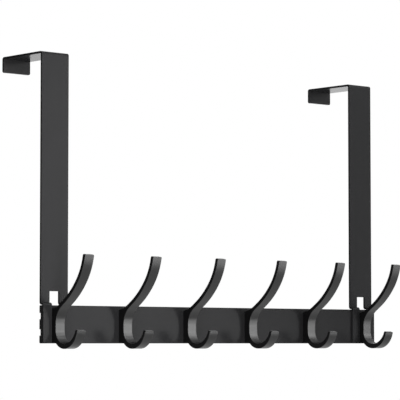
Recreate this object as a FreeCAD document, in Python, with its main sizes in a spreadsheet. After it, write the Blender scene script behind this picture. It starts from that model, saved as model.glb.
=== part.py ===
import FreeCAD, Part
import math
import os

import Sketcher

# Over-door hook rack: a grooved rail with six double hooks, hung from two
# folded straps that reach over the top of a door.
#
# X runs along the rail, -Y is the room side, +Z is up. The origin lies midway
# between the straps, on the front face of the door and level with its top.

# Driving dimensions, millimetres and degrees
SIZES = [
    # Rail: a flat bar with two channels along its back
    ("rail_length", 332.0),
    ("rail_height", 27.0),
    ("rail_thickness", 3.0),
    ("channel_width", 4.4),
    ("channel_depth", 1.3),
    ("channel_offset", 5.8),
    ("rail_front_round", 0.5),
    ("rail_back_round", 1.1),
    ("ridge_round", 0.5),

    # Straps: folded sheet over the door, forked below to pass the end hooks
    ("sheet_thickness", 1.6),
    ("strap_width", 24.0),
    ("strap_drop", 206.6),
    ("door_gap", 45.0),
    ("lip_height", 9.8),
    ("lip_corner", 1.4),
    ("door_bend", 0.3),
    ("joggle_bend", 0.4),
    ("joggle_gap", 0.3),
    ("window_height", 10.0),
    ("fork_clearance", 0.3),

    # Hooks: six alike, an arm above and a cradle below on one stem
    ("hook_count", 6),
    ("hook_width", 8.0),
    ("hook_tip_corner", 1.0),
    ("stem_depth", 5.5),
    ("stem_top", 13.7),
    ("web_top", 24.2),
    ("web_radius", 30.0),
    ("cradle_drop", 0.3),
    ("cradle_floor", 3.6),
    ("cradle_rear_radius", 9.6),
    ("cradle_front_radius", 13.7),
    ("cradle_tip_height", 9.6),
    ("cradle_tip_thickness", 2.1),
    ("arm_thickness", 2.8),
    ("arm_bend_radius", 14.8),
    ("arm_angle", 34.0),
    ("arm_straight", 4.8),
    ("arm_rise_radius", 62.0),
    ("arm_curl_radius", 44.0),
    ("arm_curl_height", 18.6),
    ("arm_tip_height", 61.9),

    # Screws: driven into the hooks from behind, heads sunk in the rail's channels
    ("screw_diameter", 2.5),
    ("screw_head_diameter", 4.0),
    ("screw_head_height", 1.0),
    ("screw_drive_width", 1.3),
    ("screw_drive_depth", 0.6),
    ("screw_clearance", 0.2),
    ("thread_clearance", 0.1),
    ("hole_end_gap", 0.2),
    ("screw_grip", 3.6),
]

os.makedirs("parts", exist_ok=True)
doc = FreeCAD.newDocument("over_door_hook")
sheet = doc.addObject("Spreadsheet::Sheet", "Sizes")
for row, (alias, number) in enumerate(SIZES, start=1):
    sheet.set(f"A{row}", alias.replace("_", " "))
    sheet.set(f"B{row}", str(number))
    sheet.setAlias(f"B{row}", alias)
doc.recompute()

size = {alias: float(sheet.get(alias)) for alias, number in SIZES}
count = int(size["hook_count"])

# Places shared by several pieces, as expressions on the sheet
RAIL_BOTTOM = "-Sizes.strap_drop"
RAIL_FRONT = "-Sizes.rail_thickness"
CHANNEL_FLOOR = "Sizes.channel_depth"
WEB_THICKNESS = "(Sizes.rail_thickness - Sizes.channel_depth)"
HALF_SPAN = "((Sizes.rail_length - Sizes.strap_width) / 2)"
PITCH = "((Sizes.rail_length - Sizes.strap_width) / (Sizes.hook_count - 1))"
SLOT_WIDTH = "(Sizes.hook_width + 2 * Sizes.fork_clearance)"
LOWER_CHANNEL = "(Sizes.rail_height / 2 - Sizes.channel_offset)"
UPPER_CHANNEL = "(Sizes.rail_height / 2 + Sizes.channel_offset)"
THREAD_BORE = "(Sizes.screw_diameter + Sizes.thread_clearance)"


def value(expression):
    """The number that an expression on the sheet stands for."""
    return sheet.evalExpression(str(expression).replace("Sizes.", ""))


def point(x, y):
    return FreeCAD.Vector(x, y, 0)


def new_body(label):
    body = doc.addObject("PartDesign::Body", label)
    body.Label = label
    return body


def place(body, x="0", y="0", z="0"):
    """Binds the place of a body to the sheet."""
    for axis, expression in zip("xyz", (x, y, z)):
        body.setExpression(f"Placement.Base.{axis}", expression)


def new_sketch(body, name, plane, offset=None):
    """An empty sketch on one of the body's own origin planes."""
    sketch = body.newObject("Sketcher::SketchObject", name)
    support = next(item for item in body.Origin.OriginFeatures if item.Role == plane)
    sketch.AttachmentSupport = [(support, "")]
    sketch.MapMode = "FlatFace"
    if offset:
        sketch.setExpression("AttachmentOffset.Base.z", offset)
    return sketch


def bind(sketch, name, expression, kind, *where):
    """Adds a dimension to a sketch and ties it to the sheet."""
    number = value(expression)
    if kind == "Angle":
        number = math.radians(number)
    index = sketch.addConstraint(Sketcher.Constraint(kind, *where, number))
    sketch.renameConstraint(index, name)
    unit = " * 1 deg" if kind == "Angle" else ""
    sketch.setExpression(f"Constraints.{name}", f"({expression}){unit}")


def rectangle(sketch, left, bottom, width, height):
    """A rectangle whose corner, width and height are expressions."""
    x0, y0 = value(left), value(bottom)
    x1, y1 = x0 + value(width), y0 + value(height)
    corners = [point(x0, y0), point(x1, y0), point(x1, y1), point(x0, y1)]
    lines = [
        sketch.addGeometry(Part.LineSegment(a, b), False)
        for a, b in zip(corners, corners[1:] + corners[:1])
    ]
    for line, after in zip(lines, lines[1:] + lines[:1]):
        sketch.addConstraint(Sketcher.Constraint("Coincident", line, 2, after, 1))
    for index, line in enumerate(lines):
        direction = "Vertical" if index % 2 else "Horizontal"
        sketch.addConstraint(Sketcher.Constraint(direction, line))
    bind(sketch, "left", left, "DistanceX", -1, 1, lines[0], 1)
    bind(sketch, "bottom", bottom, "DistanceY", -1, 1, lines[0], 1)
    bind(sketch, "width", width, "DistanceX", lines[0], 1, lines[0], 2)
    bind(sketch, "height", height, "DistanceY", lines[1], 1, lines[1], 2)


def circle(sketch, name, across, along, diameter):
    """A circle whose centre and diameter are expressions."""
    centre = point(value(across), value(along))
    shape = Part.Circle(centre, FreeCAD.Vector(0, 0, 1), value(diameter) / 2)
    index = sketch.addGeometry(shape, False)
    bind(sketch, f"{name}_across", across, "DistanceX", -1, 1, index, 3)
    bind(sketch, f"{name}_along", along, "DistanceY", -1, 1, index, 3)
    bind(sketch, f"{name}_diameter", diameter, "Diameter", index)


def pad(body, name, sketch, length, both_ways=False):
    feature = body.newObject("PartDesign::Pad", name)
    feature.Profile = sketch
    feature.Midplane = both_ways
    feature.Length = value(length)
    feature.setExpression("Length", length)
    return feature


def pocket(body, name, sketch, depth, towards_normal=False, both_ways=False):
    """Cuts a sketch into the body, to a depth or on both sides of its plane."""
    feature = body.newObject("PartDesign::Pocket", name)
    feature.Profile = sketch
    feature.Midplane = both_ways
    feature.Reversed = towards_normal
    feature.Length = value(depth)
    feature.setExpression("Length", depth)
    return feature


def fillet(body, name, base, picks, radius):
    """Rounds the edges of the base feature that picks() says yes to."""
    doc.recompute()
    edges = [f"Edge{i}" for i, edge in enumerate(base.Shape.Edges, 1) if picks(edge)]
    feature = body.newObject("PartDesign::Fillet", name)
    feature.Base = (base, edges)
    feature.setExpression("Radius", radius)
    return feature


def runs_along(edge, axis):
    """Whether a straight edge is parallel to the X, Y or Z axis."""
    if not isinstance(edge.Curve, Part.Line):
        return False
    return abs(getattr(edge.Curve.Direction, axis)) > 0.999


def middle(edge):
    return edge.BoundBox.Center


# Rail: bar with two channels in its back and two screw holes behind each hook
def make_rail():
    body = new_body("rail")
    place(body, z=RAIL_BOTTOM)

    outline = new_sketch(body, "rail_outline", "YZ_Plane")
    rectangle(outline, RAIL_FRONT, "0", "Sizes.rail_thickness", "Sizes.rail_height")
    bar = pad(body, "rail_bar", outline, "Sizes.rail_length", both_ways=True)

    for name, height in (("lower", LOWER_CHANNEL), ("upper", UPPER_CHANNEL)):
        section = new_sketch(body, f"{name}_channel_section", "YZ_Plane")
        rectangle(
            section,
            f"-{CHANNEL_FLOOR}",
            f"{height} - Sizes.channel_width / 2",
            CHANNEL_FLOOR,
            "Sizes.channel_width",
        )
        channel = pocket(
            body, f"{name}_channel", section, "Sizes.rail_length", both_ways=True
        )

    back_corners = (0.0, size["rail_height"])

    def outer_back(edge):
        at = middle(edge)
        return runs_along(edge, "x") and abs(at.y) < 1e-6 and round(at.z, 6) in back_corners

    def ridge(edge):
        at = middle(edge)
        return runs_along(edge, "x") and abs(at.y) < 1e-6 and round(at.z, 6) not in back_corners

    def front(edge):
        return runs_along(edge, "x") and abs(middle(edge).y + size["rail_thickness"]) < 1e-6

    rounds = fillet(body, "rail_back_rounds", channel, outer_back, "Sizes.rail_back_round")
    rounds = fillet(body, "ridge_rounds", rounds, ridge, "Sizes.ridge_round")
    rounds = fillet(body, "rail_front_rounds", rounds, front, "Sizes.rail_front_round")

    bore = "Sizes.screw_diameter + Sizes.screw_clearance"
    hook_holes = new_sketch(body, "hook_hole_pair", "XZ_Plane")
    for name, height in (("lower", LOWER_CHANNEL), ("upper", UPPER_CHANNEL)):
        circle(hook_holes, name, f"-{HALF_SPAN}", height, bore)
    pair = pocket(body, "hook_holes_first", hook_holes, "2 * Sizes.rail_thickness", both_ways=True)
    row = body.newObject("PartDesign::LinearPattern", "hook_holes")
    row.Originals = [pair]
    row.Direction = (hook_holes, ["H_Axis"])
    row.Length = 2 * value(HALF_SPAN)
    row.setExpression("Length", f"2 * {HALF_SPAN}")
    row.Occurrences = count
    row.setExpression("Occurrences", "Sizes.hook_count")
    body.Tip = row
    return body


# Strap: a strip folded along its bend line, then slotted into a fork
def strap_path():
    """The strip's middle line, from the lip's end to the foot of the fork."""
    half = "Sizes.sheet_thickness / 2"
    lip = f"(Sizes.door_gap + {half})"
    top = f"({half})"
    drop = f"(-{half})"
    shelf = f"(-Sizes.strap_drop + Sizes.rail_height + Sizes.joggle_gap + {half})"
    fork = f"(-Sizes.rail_thickness - {half})"
    return [
        (lip, "-Sizes.lip_height"),
        (lip, top),
        (drop, top),
        (drop, shelf),
        (fork, shelf),
        (fork, RAIL_BOTTOM),
    ]


def make_strap(label, side):
    body = new_body(label)
    place(body, x=f"{side} * {HALF_SPAN}")

    corners = strap_path()
    spots = [point(value(x), value(y)) for x, y in corners]
    door_bend = "(Sizes.door_bend + Sizes.sheet_thickness / 2)"
    joggle_bend = "(Sizes.joggle_bend + Sizes.sheet_thickness / 2)"
    radii = [door_bend, door_bend, joggle_bend, joggle_bend]

    path = new_sketch(body, f"{label}_bend_line", "YZ_Plane")
    starts, ends = [spots[0]], []
    arcs = []
    for before, corner, after, radius in zip(spots, spots[1:], spots[2:], radii):
        back = (before - corner).normalize() * value(radius)
        ahead = (after - corner).normalize() * value(radius)
        centre = corner + back + ahead
        halfway = centre + (corner - centre).normalize() * value(radius)
        ends.append(corner + back)
        starts.append(corner + ahead)
        arcs.append(Part.Arc(corner + back, halfway, corner + ahead))
    ends.append(spots[-1])

    lines = [
        path.addGeometry(Part.LineSegment(a, b), False) for a, b in zip(starts, ends)
    ]
    bends = [path.addGeometry(arc, False) for arc in arcs]
    for index, line in enumerate(lines):
        direction = "Horizontal" if index % 2 else "Vertical"
        path.addConstraint(Sketcher.Constraint(direction, line))
    for index, bend in enumerate(bends):
        for line, line_end in ((lines[index], 2), (lines[index + 1], 1)):
            at = path.getPoint(line, line_end)
            bend_end = 1 if (path.getPoint(bend, 1) - at).Length < 1e-6 else 2
            path.addConstraint(
                Sketcher.Constraint("Tangent", line, line_end, bend, bend_end)
            )
        bind(path, f"bend_{index}", radii[index], "Radius", bend)
    bind(path, "lip_across", corners[0][0], "DistanceX", -1, 1, lines[0], 1)
    bind(path, "lip_end", corners[0][1], "DistanceY", -1, 1, lines[0], 1)
    bind(path, "top", corners[1][1], "DistanceY", -1, 1, lines[1], 1)
    bind(path, "drop_across", corners[2][0], "DistanceX", -1, 1, lines[2], 1)
    bind(path, "shelf", corners[3][1], "DistanceY", -1, 1, lines[3], 1)
    bind(path, "fork_across", corners[4][0], "DistanceX", -1, 1, lines[4], 1)
    bind(path, "foot", corners[5][1], "DistanceY", -1, 1, lines[4], 2)

    section = new_sketch(body, f"{label}_section", "XY_Plane", offset="-Sizes.lip_height")
    rectangle(
        section,
        "-Sizes.strap_width / 2",
        "Sizes.door_gap",
        "Sizes.strap_width",
        "Sizes.sheet_thickness",
    )
    strip = body.newObject("PartDesign::AdditivePipe", f"{label}_strip")
    strip.Profile = section
    strip.Spine = path

    slot = new_sketch(body, f"{label}_slot_outline", "XZ_Plane")
    below = "Sizes.sheet_thickness"
    rectangle(
        slot,
        f"-{SLOT_WIDTH} / 2",
        f"{RAIL_BOTTOM} - {below}",
        SLOT_WIDTH,
        f"Sizes.rail_height + Sizes.window_height + {below}",
    )
    fork = pocket(
        body, f"{label}_slot", slot,
        "4 * (Sizes.rail_thickness + Sizes.sheet_thickness)", both_ways=True,
    )

    lip_end = -size["lip_height"]

    def lip_corner(edge):
        return runs_along(edge, "y") and abs(middle(edge).z - lip_end) < 1e-6

    fillet(body, f"{label}_lip_corners", fork, lip_corner, "Sizes.lip_corner")
    return body


# Hook: one outline of tangent arcs, padded to the bar's width
def hook_outline(sketch):
    """Draws the side view, forward to -X, with its corner on the rail's foot."""
    get = size.get
    rise = math.radians(get("arm_angle"))
    along = point(-math.cos(rise), math.sin(rise))
    inward = point(math.sin(rise), math.cos(rise))
    normal = FreeCAD.Vector(0, 0, 1)

    def line(a, b):
        return sketch.addGeometry(Part.LineSegment(a, b), False)

    def arc(centre, a, b):
        """The shorter arc about a centre, from one point to another."""
        radius = (a - centre).Length
        halfway = centre + ((a + b) * 0.5 - centre).normalize() * radius
        return sketch.addGeometry(Part.Arc(a, halfway, b), False)

    def roomward(centre, radius, height):
        """The point at a height on the half of a circle that faces the room."""
        return point(centre.x - math.sqrt(radius ** 2 - (height - centre.y) ** 2), height)

    def inside(edge_point, centre, depth):
        """The point at a depth below an edge point, towards the edge's centre."""
        return edge_point + (centre - edge_point).normalize() * depth

    rear_radius = get("cradle_rear_radius")
    front_radius = get("cradle_front_radius")
    stem = -get("stem_depth")
    axis = stem - rear_radius
    rear_centre = point(axis, rear_radius - get("cradle_drop"))
    floor = point(axis, -get("cradle_drop"))
    underside = point(axis, floor.y - get("cradle_floor"))
    outer_radius = rear_radius + get("cradle_floor")
    foot = point(axis + math.sqrt(outer_radius ** 2 - rear_centre.y ** 2), 0)
    front_centre = floor + point(0, front_radius)
    tip_in = roomward(front_centre, front_radius, get("cradle_tip_height"))
    tip_out = inside(tip_in, front_centre, -get("cradle_tip_thickness"))
    span = tip_out - underside
    nose_radius = span.dot(span) / (2 * span.y)
    nose_centre = underside + point(0, nose_radius)
    stem_foot = point(stem, rear_centre.y)
    stem_head = point(stem, get("stem_top"))
    bend_centre = stem_head - point(get("arm_bend_radius"), 0)
    arm_start = bend_centre + inward * get("arm_bend_radius")
    arm_turn = arm_start + along * get("arm_straight")
    rise_radius = get("arm_rise_radius")
    curl_radius = get("arm_curl_radius")
    rise_centre = arm_turn + inward * rise_radius
    curl_start = roomward(
        rise_centre, rise_radius, get("arm_tip_height") - get("arm_curl_height")
    )
    curl_centre = inside(curl_start, rise_centre, curl_radius)
    arm_tip = roomward(curl_centre, curl_radius, get("arm_tip_height"))
    arm_tip_back = inside(arm_tip, curl_centre, get("arm_thickness"))
    curl_back = inside(curl_start, curl_centre, get("arm_thickness"))
    back_turn = inside(arm_turn, rise_centre, get("arm_thickness"))

    # The web's arc touches the arm's back and meets the rail
    web_corner = point(0, get("web_top"))
    reach = web_corner - back_turn - inward * get("web_radius")
    run = reach.dot(along)
    web_turn = back_turn + along * (
        run + math.sqrt(run ** 2 - reach.dot(reach) + get("web_radius") ** 2)
    )
    web_centre = web_turn + inward * get("web_radius")

    foot_line = line(point(0, 0), foot)
    outer_rear = arc(rear_centre, foot, underside)
    outer_nose = arc(nose_centre, underside, tip_out)
    tip_line = line(tip_out, tip_in)
    inner_nose = arc(front_centre, tip_in, floor)
    inner_rear = arc(rear_centre, floor, stem_foot)
    stem_line = line(stem_foot, stem_head)
    arm_bend = arc(bend_centre, stem_head, arm_start)
    arm_line = line(arm_start, arm_turn)
    arm_rise = arc(rise_centre, arm_turn, curl_start)
    arm_curl = arc(curl_centre, curl_start, arm_tip)
    arm_end = line(arm_tip, arm_tip_back)
    back_curl = arc(curl_centre, arm_tip_back, curl_back)
    back_rise = arc(rise_centre, curl_back, back_turn)
    back_line = line(back_turn, web_turn)
    web = arc(web_centre, web_turn, web_corner)
    rail_line = line(web_corner, point(0, 0))

    def add(kind, *where):
        sketch.addConstraint(Sketcher.Constraint(kind, *where))

    def end_at(edge, spot):
        return 1 if (sketch.getPoint(edge, 1) - spot).Length < 1e-6 else 2

    # Each edge with the point where it ends and how it meets the next one
    chain = [
        (foot_line, foot, "Coincident"),
        (outer_rear, underside, "Tangent"),
        (outer_nose, tip_out, "Coincident"),
        (tip_line, tip_in, "Coincident"),
        (inner_nose, floor, "Tangent"),
        (inner_rear, stem_foot, "Tangent"),
        (stem_line, stem_head, "Tangent"),
        (arm_bend, arm_start, "Tangent"),
        (arm_line, arm_turn, "Tangent"),
        (arm_rise, curl_start, "Tangent"),
        (arm_curl, arm_tip, "Coincident"),
        (arm_end, arm_tip_back, "Coincident"),
        (back_curl, curl_back, "Tangent"),
        (back_rise, back_turn, "Tangent"),
        (back_line, web_turn, "Tangent"),
        (web, web_corner, "Coincident"),
        (rail_line, point(0, 0), "Coincident"),
    ]
    followers = [edge for edge, spot, meets in chain[1:] + chain[:1]]
    for (edge, spot, meets), after in zip(chain, followers):
        add(meets, edge, end_at(edge, spot), after, end_at(after, spot))

    add("Coincident", foot_line, 1, -1, 1)
    add("Horizontal", foot_line)
    add("Vertical", stem_line)
    add("Vertical", rail_line)
    add("Coincident", outer_rear, 3, inner_rear, 3)
    floor_end = end_at(inner_rear, floor)
    under_end = end_at(outer_rear, underside)
    add("Vertical", inner_rear, 3, inner_rear, floor_end)
    add("Vertical", outer_rear, 3, outer_rear, under_end)
    add("PointOnObject", inner_nose, 3, tip_line)
    add("PointOnObject", arm_curl, 3, arm_end)
    add("Coincident", arm_curl, 3, back_curl, 3)
    add("Coincident", arm_rise, 3, back_rise, 3)
    add("Parallel", arm_line, back_line)
    bind(sketch, "stem_depth", "Sizes.stem_depth", "DistanceX", stem_line, 1, -1, 1)
    bind(sketch, "stem_top", "Sizes.stem_top", "DistanceY", -1, 1, stem_line, 2)
    bind(sketch, "cradle_drop", "Sizes.cradle_drop", "DistanceY", inner_rear, floor_end, -1, 1)
    bind(
        sketch, "cradle_floor", "Sizes.cradle_floor", "DistanceY",
        outer_rear, under_end, inner_rear, floor_end,
    )
    bind(sketch, "cradle_rear_radius", "Sizes.cradle_rear_radius", "Radius", inner_rear)
    bind(sketch, "cradle_front_radius", "Sizes.cradle_front_radius", "Radius", inner_nose)
    bind(sketch, "cradle_tip_height", "Sizes.cradle_tip_height", "DistanceY", -1, 1, tip_line, 2)
    bind(sketch, "cradle_tip_thickness", "Sizes.cradle_tip_thickness", "Distance", tip_line)
    bind(sketch, "arm_bend_radius", "Sizes.arm_bend_radius", "Radius", arm_bend)
    bind(sketch, "arm_angle", "180 - Sizes.arm_angle", "Angle", arm_line)
    bind(sketch, "arm_straight", "Sizes.arm_straight", "Distance", arm_line)
    bind(sketch, "arm_rise_radius", "Sizes.arm_rise_radius", "Radius", arm_rise)
    bind(sketch, "arm_curl_radius", "Sizes.arm_curl_radius", "Radius", arm_curl)
    bind(
        sketch, "arm_curl_height", "Sizes.arm_curl_height", "DistanceY",
        arm_curl, end_at(arm_curl, curl_start), arm_end, 1,
    )
    bind(sketch, "arm_tip_height", "Sizes.arm_tip_height", "DistanceY", -1, 1, arm_end, 1)
    bind(sketch, "arm_thickness", "Sizes.arm_thickness", "Distance", arm_end)
    bind(sketch, "web_radius", "Sizes.web_radius", "Radius", web)
    bind(sketch, "web_top", "Sizes.web_top", "DistanceY", -1, 1, rail_line, 1)


def make_hook(label, index):
    body = new_body(label)
    place(body, x=f"{index} * {PITCH} - {HALF_SPAN}", y=RAIL_FRONT, z=RAIL_BOTTOM)

    outline = new_sketch(body, f"{label}_outline", "YZ_Plane")
    hook_outline(outline)
    bar = pad(body, f"{label}_bar", outline, "Sizes.hook_width", both_ways=True)

    free_beyond = -size["stem_depth"] - size["cradle_rear_radius"]

    def tip_corner(edge):
        """The four short edges at the free ends, across the bar's thickness."""
        straight = isinstance(edge.Curve, Part.Line)
        on_side = edge.BoundBox.XLength < 1e-6
        return straight and on_side and edge.BoundBox.YMax < free_beyond

    fillet(body, f"{label}_tip_corners", bar, tip_corner, "Sizes.hook_tip_corner")

    bores = new_sketch(body, f"{label}_bore_circles", "XZ_Plane")
    for row, height in (("lower", LOWER_CHANNEL), ("upper", UPPER_CHANNEL)):
        circle(bores, row, "0", height, THREAD_BORE)
    pocket(
        body, f"{label}_bores", bores, "Sizes.screw_grip + Sizes.hole_end_gap",
        towards_normal=True,
    )
    return body


# Screws: a flat head with a square recess, on a plain shank
def make_screw(label, across, height):
    body = new_body(label)
    place(body, x=across, y=f"-{CHANNEL_FLOOR}", z=f"{RAIL_BOTTOM} + {height}")

    head_circle = new_sketch(body, f"{label}_head_circle", "XZ_Plane")
    circle(head_circle, "head", "0", "0", "Sizes.screw_head_diameter")
    head = pad(body, f"{label}_head", head_circle, "Sizes.screw_head_height")
    head.Reversed = True

    shank_circle = new_sketch(body, f"{label}_shank_circle", "XZ_Plane")
    circle(shank_circle, "shank", "0", "0", "Sizes.screw_diameter")
    shank = pad(body, f"{label}_shank", shank_circle, f"{WEB_THICKNESS} + Sizes.screw_grip")

    recess_square = new_sketch(
        body, f"{label}_recess_square", "XZ_Plane", offset="-Sizes.screw_head_height"
    )
    rectangle(
        recess_square,
        "-Sizes.screw_drive_width / 2",
        "-Sizes.screw_drive_width / 2",
        "Sizes.screw_drive_width",
        "Sizes.screw_drive_width",
    )
    pocket(
        body, f"{label}_recess", recess_square, "Sizes.screw_drive_depth", towards_normal=True
    )
    return body


# The whole rack
pieces = [make_rail()]
for label, side in (("strap_left", "-1"), ("strap_right", "1")):
    pieces.append(make_strap(label, side))
for index in range(count):
    hook = f"hook_{index + 1}"
    pieces.append(make_hook(hook, index))
    across = f"{index} * {PITCH} - {HALF_SPAN}"
    pieces.append(make_screw(f"{hook}_screw_lower", across, LOWER_CHANNEL))
    pieces.append(make_screw(f"{hook}_screw_upper", across, UPPER_CHANNEL))

doc.recompute()
for item in doc.Objects:
    if "Invalid" in item.State or "Error" in item.State:
        raise RuntimeError(f"{item.Name} did not build: {item.State}")
for body in pieces:
    shape = body.Shape
    if shape.isNull() or not shape.isValid() or len(shape.Solids) != 1:
        raise RuntimeError(f"{body.Label} is not one valid solid")
for body in pieces:
    body.Shape.exportStep(f"parts/{body.Label}.step")
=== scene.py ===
import math

import bmesh
import bpy
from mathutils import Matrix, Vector


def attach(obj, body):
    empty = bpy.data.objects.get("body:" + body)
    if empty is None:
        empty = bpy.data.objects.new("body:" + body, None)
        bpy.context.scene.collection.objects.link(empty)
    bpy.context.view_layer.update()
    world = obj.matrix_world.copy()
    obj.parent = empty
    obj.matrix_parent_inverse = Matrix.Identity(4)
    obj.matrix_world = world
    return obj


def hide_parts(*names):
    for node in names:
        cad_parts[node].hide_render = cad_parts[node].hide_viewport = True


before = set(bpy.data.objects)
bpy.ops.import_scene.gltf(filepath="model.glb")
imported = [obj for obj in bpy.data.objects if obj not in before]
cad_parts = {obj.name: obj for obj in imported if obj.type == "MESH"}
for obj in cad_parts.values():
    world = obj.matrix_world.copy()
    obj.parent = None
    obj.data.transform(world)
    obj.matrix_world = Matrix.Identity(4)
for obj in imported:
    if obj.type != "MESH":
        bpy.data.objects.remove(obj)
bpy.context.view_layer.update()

# Over-door hook rack in black powder coat, seen from the left and from the
# level of its rail. Metres; X along the rail, -Y into the room, +Z up.

MM = 0.001
HOOK_COUNT = 6

# Camera: a long lens to the left of the rack, tilted up a little
LENS = 196.13
SENSOR = 36.0
CAMERA_PLACE = Vector((-1.0915, -1.2409, -0.20655))
CAMERA_TURN = -40.925
CAMERA_TILT = 3.763

# Powder coat: colours, and the sizes of its grains
FLAT_COLOUR = (0.020, 0.020, 0.0208, 1.0)
HOOK_COLOUR = (0.0035, 0.0035, 0.0037, 1.0)
COAT_RUBBED = (0.085, 0.085, 0.088, 1.0)
COAT_SHADE = 0.85
RUBBED_SHARE = 0.4
PEEL_SIZE, PEEL_DEPTH = 1.1 * MM, 0.0015 * MM
GRAIN_SIZE, GRAIN_DEPTH = 0.28 * MM, 0.0006 * MM
CLOUD_SIZE = 24 * MM
SMUDGE_SIZE = 7 * MM
SPECK_SIZE = 0.9 * MM
EDGE_ROUND = 0.12 * MM

# Black oxide of the screws
OXIDE_COLOUR = (0.045, 0.045, 0.05, 1.0)
OXIDE_RUBBED = (0.16, 0.16, 0.17, 1.0)
OXIDE_ROUGHNESS = 0.36
OXIDE_UNEVENNESS = 0.2
OXIDE_METALLIC = 0.9
MARK_SIZE, MARK_DEPTH = 0.12 * MM, 0.003 * MM
OXIDE_CLOUD_SIZE = 1.4 * MM

# Mesh of a hook: its facets are welded, and its sharp edges are rounded
WELD_DISTANCE = 0.001 * MM
FLAT_ANGLE = math.radians(0.3)
SHARP_ANGLE = math.radians(35)
ROUND_SEGMENTS = 3
FACE_WEIGHT = 80

# Studio: the shares of light that the world and the white floor give
RACK_CENTRE = Vector((0.0, 0.0, -0.15))
FLOOR_HEIGHT = -1.0
FLOOR_SIZE = 8.0
FLOOR_COLOUR = (0.85, 0.85, 0.85, 1.0)
FLOOR_WHITE = 0.7
WORLD_COLOUR = (1.0, 1.0, 1.0, 1.0)
AMBIENT = 0.131
MIRRORED = 0.7
DIM_SIDE = 0.05
DIM_END, BRIGHT_START = -0.45, 0.25
# Softboxes: name, azimuth and elevation in degrees, distance, width, height, watts.
# The key light is a grid of small ones, so that it falls off along the rail.
SOFTBOXES = (
    ("key_low_1", 33, -14, 1.4, 0.19, 0.494, 1.59),
    ("key_low_2", 41, -14, 1.4, 0.19, 0.494, 0.93),
    ("key_low_3", 49.5, -14, 1.4, 0.214, 0.494, 0.9),
    ("key_middle_1", 33, 6, 1.4, 0.195, 0.494, 2.96),
    ("key_middle_2", 41, 6, 1.4, 0.195, 0.494, 2.04),
    ("key_middle_4", 60, 6, 1.4, 0.293, 0.494, 2.3),
    ("key_high_2", 41, 26, 1.4, 0.176, 0.494, 1.86),
    ("key_high_3", 49.5, 26, 1.4, 0.198, 0.494, 1.72),
    ("key_high_4", 60, 26, 1.4, 0.265, 0.494, 0.9),
    ("key_top_4", 60, 47, 1.4, 0.201, 0.544, 1.6),
    ("right_panel", 115, 2.5, 1.2, 0.873, 0.757, 2.09),
    ("back_panel", 159, 6, 1.2, 0.822, 0.688, 1.6),
    ("back_low", 159, -27.5, 1.2, 0.733, 0.757, 0.5),
    ("left_strip", -35, 0, 0.36, 0.12, 1.2, 2.06),
    ("far_left_strip", -55, 0, 0.4, 0.12, 1.2, 1.36),
)


# Shader graphs
class Socket:
    """A node's output that takes part in plain arithmetic."""

    def __init__(self, graph, socket):
        self.graph = graph
        self.socket = socket

    def math(self, operation, *terms):
        settings = {"operation": operation}
        return self.graph.add("ShaderNodeMath", settings, dict(enumerate(terms)))["Value"]

    def __add__(self, other):
        return self.math("ADD", self, other)

    def __radd__(self, other):
        return self.math("ADD", other, self)

    def __sub__(self, other):
        return self.math("SUBTRACT", self, other)

    def __rsub__(self, other):
        return self.math("SUBTRACT", other, self)

    def __mul__(self, other):
        return self.math("MULTIPLY", self, other)

    def clamp(self):
        return self.math("MINIMUM", self.math("MAXIMUM", self, 0.0), 1.0)

    def ramp(self, low, high):
        """0 below low, 1 above high and smooth between them."""
        settings = {"interpolation_type": "SMOOTHSTEP"}
        inputs = {"Value": self, "From Min": low, "From Max": high}
        return self.graph.add("ShaderNodeMapRange", settings, inputs)["Result"]


class Graph:
    """The nodes of one material, lamp or world."""

    def __init__(self, owner):
        owner.use_nodes = True
        self.tree = owner.node_tree
        self.tree.nodes.clear()

    def add(self, kind, settings=None, inputs=None):
        """A node: its settings first, then the values or links of its sockets."""
        node = self.tree.nodes.new(kind)
        for name, setting in (settings or {}).items():
            setattr(node, name, setting)
        for key, term in (inputs or {}).items():
            if isinstance(key, int):
                socket = node.inputs[key]
            else:
                socket = next(s for s in node.inputs if s.name == key and s.enabled)
            if isinstance(term, Socket):
                self.tree.links.new(term.socket, socket)
            else:
                socket.default_value = term
        return {s.name: Socket(self, s) for s in node.outputs if s.enabled}

    def noise(self, place, size, detail=2.0, roughness=0.5):
        """Soft noise from 0 to 1 whose grains are about one size across."""
        settings = {"noise_dimensions": "3D"}
        inputs = {
            "Vector": place,
            "Scale": 1 / size,
            "Detail": detail,
            "Roughness": roughness,
        }
        return self.add("ShaderNodeTexNoise", settings, inputs)["Fac"]

    def blend(self, amount, first, second):
        """A colour between two colours."""
        inputs = {"Factor": amount, "A": first, "B": second}
        return self.add("ShaderNodeMix", {"data_type": "RGBA"}, inputs)["Result"]

    def bump(self, height, depth, normal=None):
        """A normal for a height from 0 to 1 that stands for a real depth."""
        inputs = {"Height": height, "Distance": depth, "Strength": 1.0}
        if normal:
            inputs["Normal"] = normal
        return self.add("ShaderNodeBump", None, inputs)["Normal"]

    def edges(self, radius):
        """1 on sharp outer edges and 0 on flat faces, with the rounded normal."""
        rounded = self.add("ShaderNodeBevel", {"samples": 4}, {"Radius": radius})["Normal"]
        true = self.add("ShaderNodeNewGeometry")["Normal"]
        inputs = {0: rounded, 1: true}
        level = self.add("ShaderNodeVectorMath", {"operation": "DOT_PRODUCT"}, inputs)["Value"]
        return (1.0 - level).ramp(0.01, 0.2), rounded


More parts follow.
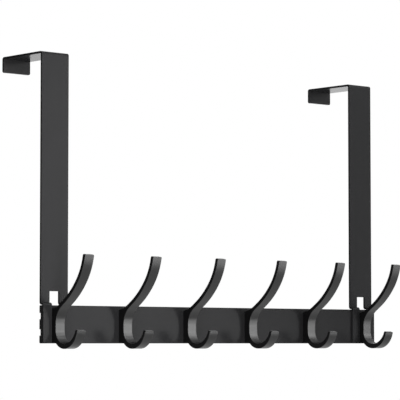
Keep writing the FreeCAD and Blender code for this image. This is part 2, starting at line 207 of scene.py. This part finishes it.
def powder_coat(name, colour, roughness, unevenness, specular):
    """Satin black powder coat: orange peel, a fine grain and faintly rubbed edges."""
    material = bpy.data.materials.new(name)
    graph = Graph(material)
    place = graph.add("ShaderNodeTexCoord")["Object"]

    peel = graph.noise(place, PEEL_SIZE, detail=1.0)
    grain = graph.noise(place, GRAIN_SIZE, detail=2.0, roughness=0.6)
    cloud = graph.noise(place, CLOUD_SIZE, detail=3.0)
    smudge = graph.noise(place, SMUDGE_SIZE, detail=4.0, roughness=0.65)
    speck = graph.noise(place, SPECK_SIZE, detail=3.0, roughness=0.7)

    edge, rounded = graph.edges(EDGE_ROUND)
    rubbed = edge * speck.ramp(0.46, 0.62) * smudge.ramp(0.35, 0.6)

    normal = graph.bump(peel, PEEL_DEPTH, rounded)
    normal = graph.bump(grain, GRAIN_DEPTH, normal)

    shaded = [channel * COAT_SHADE for channel in colour[:3]] + [1.0]
    tint = graph.blend(cloud, colour, shaded)
    tint = graph.blend(rubbed * RUBBED_SHARE, tint, COAT_RUBBED)
    uneven = (cloud - 0.5) * 0.5 + (grain - 0.5) * 0.6
    uneven = uneven + smudge.ramp(0.55, 0.75) * 0.4 - rubbed
    surface = roughness + uneven * unevenness

    shader = graph.add(
        "ShaderNodeBsdfPrincipled",
        None,
        {
            "Base Color": tint,
            "Roughness": surface,
            "Normal": normal,
            "Specular IOR Level": specular,
        },
    )
    graph.add("ShaderNodeOutputMaterial", None, {"Surface": shader["BSDF"]})
    return material


def black_oxide(name):
    """Blackened steel with faint turning marks and brighter edges."""
    material = bpy.data.materials.new(name)
    graph = Graph(material)
    place = graph.add("ShaderNodeTexCoord")["Object"]

    marks = graph.noise(place, MARK_SIZE, detail=2.0)
    cloud = graph.noise(place, OXIDE_CLOUD_SIZE, detail=3.0)
    edge, rounded = graph.edges(EDGE_ROUND)

    colour = graph.blend(edge * cloud, OXIDE_COLOUR, OXIDE_RUBBED)
    shader = graph.add(
        "ShaderNodeBsdfPrincipled",
        None,
        {
            "Base Color": colour,
            "Roughness": OXIDE_ROUGHNESS + (cloud - 0.5) * OXIDE_UNEVENNESS,
            "Metallic": OXIDE_METALLIC,
            "Normal": graph.bump(marks, MARK_DEPTH, rounded),
        },
    )
    graph.add("ShaderNodeOutputMaterial", None, {"Surface": shader["BSDF"]})
    return material


def paint(piece, material):
    piece.data.materials.clear()
    piece.data.materials.append(material)


# Hooks
def rounded_hook(node, material):
    """A CAD hook as one welded mesh with its casting's edges rounded."""
    mesh = bpy.data.meshes.new(f"{node}_coated")
    shell = bmesh.new()
    shell.from_mesh(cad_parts[node].data)
    bmesh.ops.remove_doubles(shell, verts=shell.verts, dist=WELD_DISTANCE)
    bmesh.ops.dissolve_limit(
        shell,
        angle_limit=FLAT_ANGLE,
        use_dissolve_boundaries=False,
        verts=shell.verts,
        edges=shell.edges,
    )
    for face in shell.faces:
        face.smooth = True
    bmesh.ops.recalc_face_normals(shell, faces=shell.faces)
    shell.to_mesh(mesh)
    shell.free()

    piece = bpy.data.objects.new(f"{node}_coated", mesh)
    bpy.context.scene.collection.objects.link(piece)
    paint(piece, material)
    bevel = piece.modifiers.new("cast_edges", "BEVEL")
    bevel.width = EDGE_ROUND
    bevel.segments = ROUND_SEGMENTS
    bevel.limit_method = "ANGLE"
    bevel.angle_limit = SHARP_ANGLE
    bevel.use_clamp_overlap = False
    shading = piece.modifiers.new("face_shading", "WEIGHTED_NORMAL")
    shading.weight = FACE_WEIGHT
    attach(piece, "root")
    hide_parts(node)


# Studio: floor, world, lamps and camera
def make_floor():
    mesh = bpy.data.meshes.new("floor")
    plane = bmesh.new()
    bmesh.ops.create_grid(plane, x_segments=1, y_segments=1, size=FLOOR_SIZE / 2)
    bmesh.ops.translate(plane, verts=plane.verts, vec=(0, 0, FLOOR_HEIGHT))
    plane.to_mesh(mesh)
    plane.free()
    floor = bpy.data.objects.new("floor", mesh)
    bpy.context.scene.collection.objects.link(floor)

    material = bpy.data.materials.new("pale_floor")
    graph = Graph(material)
    rays = graph.add("ShaderNodeLightPath")
    lit = graph.add("ShaderNodeBsdfDiffuse", None, {"Color": FLOOR_COLOUR})["BSDF"]
    white = graph.add("ShaderNodeEmission", None, {"Strength": 1.0})["Emission"]
    seen = rays["Is Camera Ray"] + rays["Is Glossy Ray"] + rays["Is Transmission Ray"]
    inputs = {0: seen.clamp() * FLOOR_WHITE, 1: lit, 2: white}
    mixed = graph.add("ShaderNodeMixShader", None, inputs)
    graph.add("ShaderNodeOutputMaterial", None, {"Surface": mixed["Shader"]})
    paint(floor, material)


def make_world():
    """White to the eye; the light from it is dimmer, and dim from the left."""
    world = bpy.data.worlds.new("studio")
    bpy.context.scene.world = world
    graph = Graph(world)
    direction = graph.add("ShaderNodeTexCoord")["Generated"]
    across = graph.add("ShaderNodeSeparateXYZ", None, {"Vector": direction})["X"]
    side = DIM_SIDE + across.ramp(DIM_END, BRIGHT_START) * (1 - DIM_SIDE)
    rays = graph.add("ShaderNodeLightPath")
    camera = rays["Is Camera Ray"]
    mirrored = (rays["Is Glossy Ray"] + rays["Is Transmission Ray"]).clamp()
    light = side * (mirrored * MIRRORED + (1.0 - mirrored) * AMBIENT)
    strength = camera + (1.0 - camera) * light
    inputs = {"Color": WORLD_COLOUR, "Strength": strength}
    shader = graph.add("ShaderNodeBackground", None, inputs)["Background"]
    graph.add("ShaderNodeOutputWorld", None, {"Surface": shader})


def softbox(name, azimuth, elevation, distance, width, height, power):
    """An area lamp aimed at the rack: azimuth 0 is in front of it, 90 to its right."""
    turn, rise = math.radians(azimuth), math.radians(elevation)
    level = math.cos(rise)
    away = Vector((math.sin(turn) * level, -math.cos(turn) * level, math.sin(rise)))
    lamp = bpy.data.lights.new(name, "AREA")
    lamp.shape = "RECTANGLE"
    lamp.size = width
    lamp.size_y = height
    lamp.energy = power
    holder = bpy.data.objects.new(name, lamp)
    bpy.context.scene.collection.objects.link(holder)
    holder.location = RACK_CENTRE + away * distance
    holder.rotation_euler = (-away).to_track_quat("-Z", "Y").to_euler()


def make_camera():
    lens = bpy.data.cameras.new("camera")
    lens.lens = LENS
    lens.sensor_width = SENSOR
    lens.clip_start = 0.1
    lens.clip_end = 100.0
    camera = bpy.data.objects.new("camera", lens)
    bpy.context.scene.collection.objects.link(camera)
    camera.location = CAMERA_PLACE
    tilt, turn = math.radians(90 + CAMERA_TILT), math.radians(CAMERA_TURN)
    camera.rotation_euler = (tilt, 0, turn)
    bpy.context.scene.camera = camera


# Materials and pieces
flat_coat = powder_coat(
    "flat_powder_coat", FLAT_COLOUR, roughness=0.22, unevenness=0.03, specular=0.0375
)
hook_coat = powder_coat(
    "hook_powder_coat", HOOK_COLOUR, roughness=0.30, unevenness=0.02, specular=0.5
)
screw_steel = black_oxide("screw_black_oxide")

for node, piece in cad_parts.items():
    if "screw" in node:
        paint(piece, screw_steel)
    elif not node.startswith("hook"):
        paint(piece, flat_coat)
for index in range(HOOK_COUNT):
    rounded_hook(f"hook_{index + 1}", hook_coat)

make_floor()
make_world()
make_camera()
for settings in SOFTBOXES:
    softbox(*settings)

bpy.context.scene.view_settings.view_transform = "Standard"
